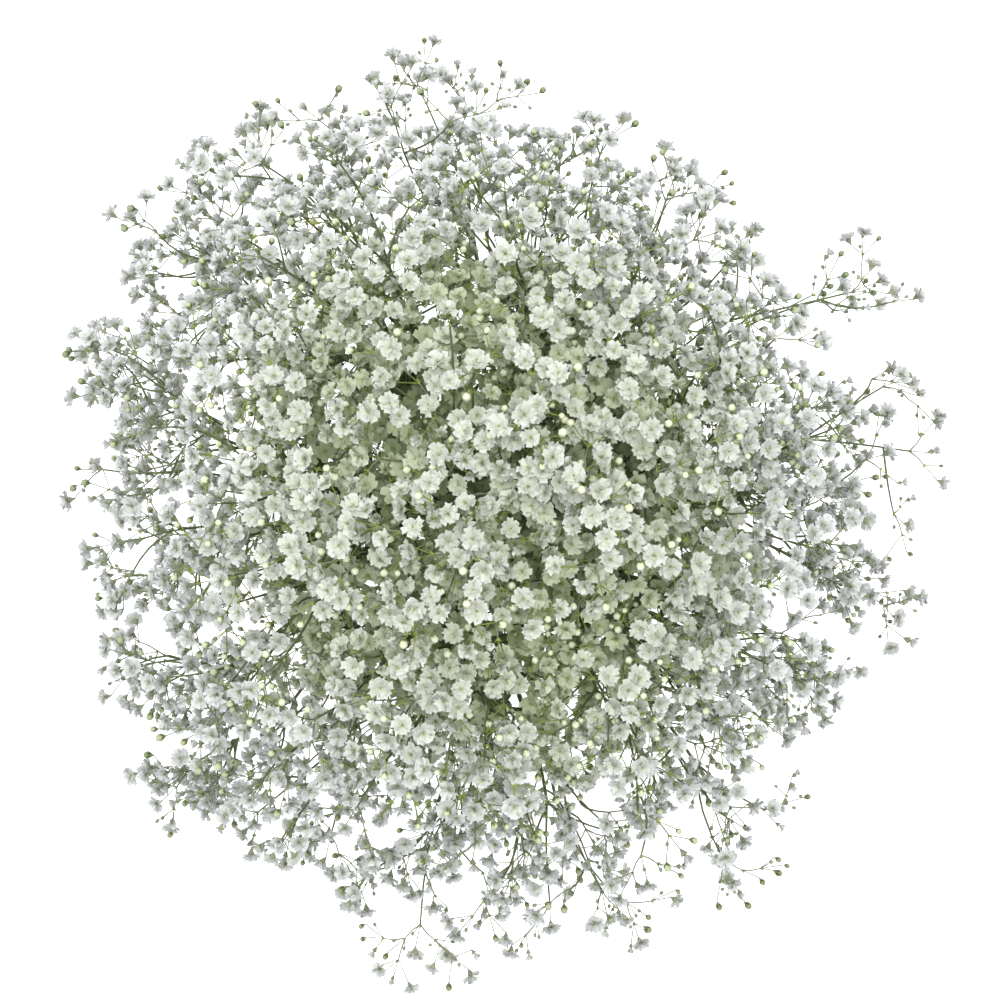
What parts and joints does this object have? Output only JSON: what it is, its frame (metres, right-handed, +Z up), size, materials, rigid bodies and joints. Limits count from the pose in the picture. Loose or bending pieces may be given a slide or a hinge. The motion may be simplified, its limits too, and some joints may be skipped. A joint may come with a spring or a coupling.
{
  "type": "gypsophila bunch",
  "caption": "Hand-tied spiral bunch of double white gypsophila with a round airy head of small blooms and buds, bound with twine and standing on its splayed cut stems.",
  "frame": {"origin": "on the ground under the middle of the head's width and depth; the axis that the stalks cross round is 6.8 mm towards -X and 10.1 mm towards +Y of it", "axes": "+Z up along the bunch from the cut ends to the top of the head; +X and +Y are the right and top of a view from straight above"},
  "size_m": [0.3454, 0.3649, 0.3925],
  "materials": {
    "flowering_stem": "matte",
    "petal": "matte",
    "twine": "matte"
  },
  "bodies": {
    "root": {"centre_stem": "flowering_stem", "inner_stem_1": "flowering_stem", "inner_stem_2": "flowering_stem", "inner_stem_3": "flowering_stem", "inner_stem_4": "flowering_stem", "inner_stem_5": "flowering_stem", "inner_stem_6": "flowering_stem", "outer_stem_1": "flowering_stem", "outer_stem_2": "flowering_stem", "outer_stem_3": "flowering_stem", "outer_stem_4": "flowering_stem", "outer_stem_5": "flowering_stem", "outer_stem_6": "flowering_stem", "outer_stem_7": "flowering_stem", "outer_stem_8": "flowering_stem", "twine_tie": "twine"}
  },
  "joints": []
}
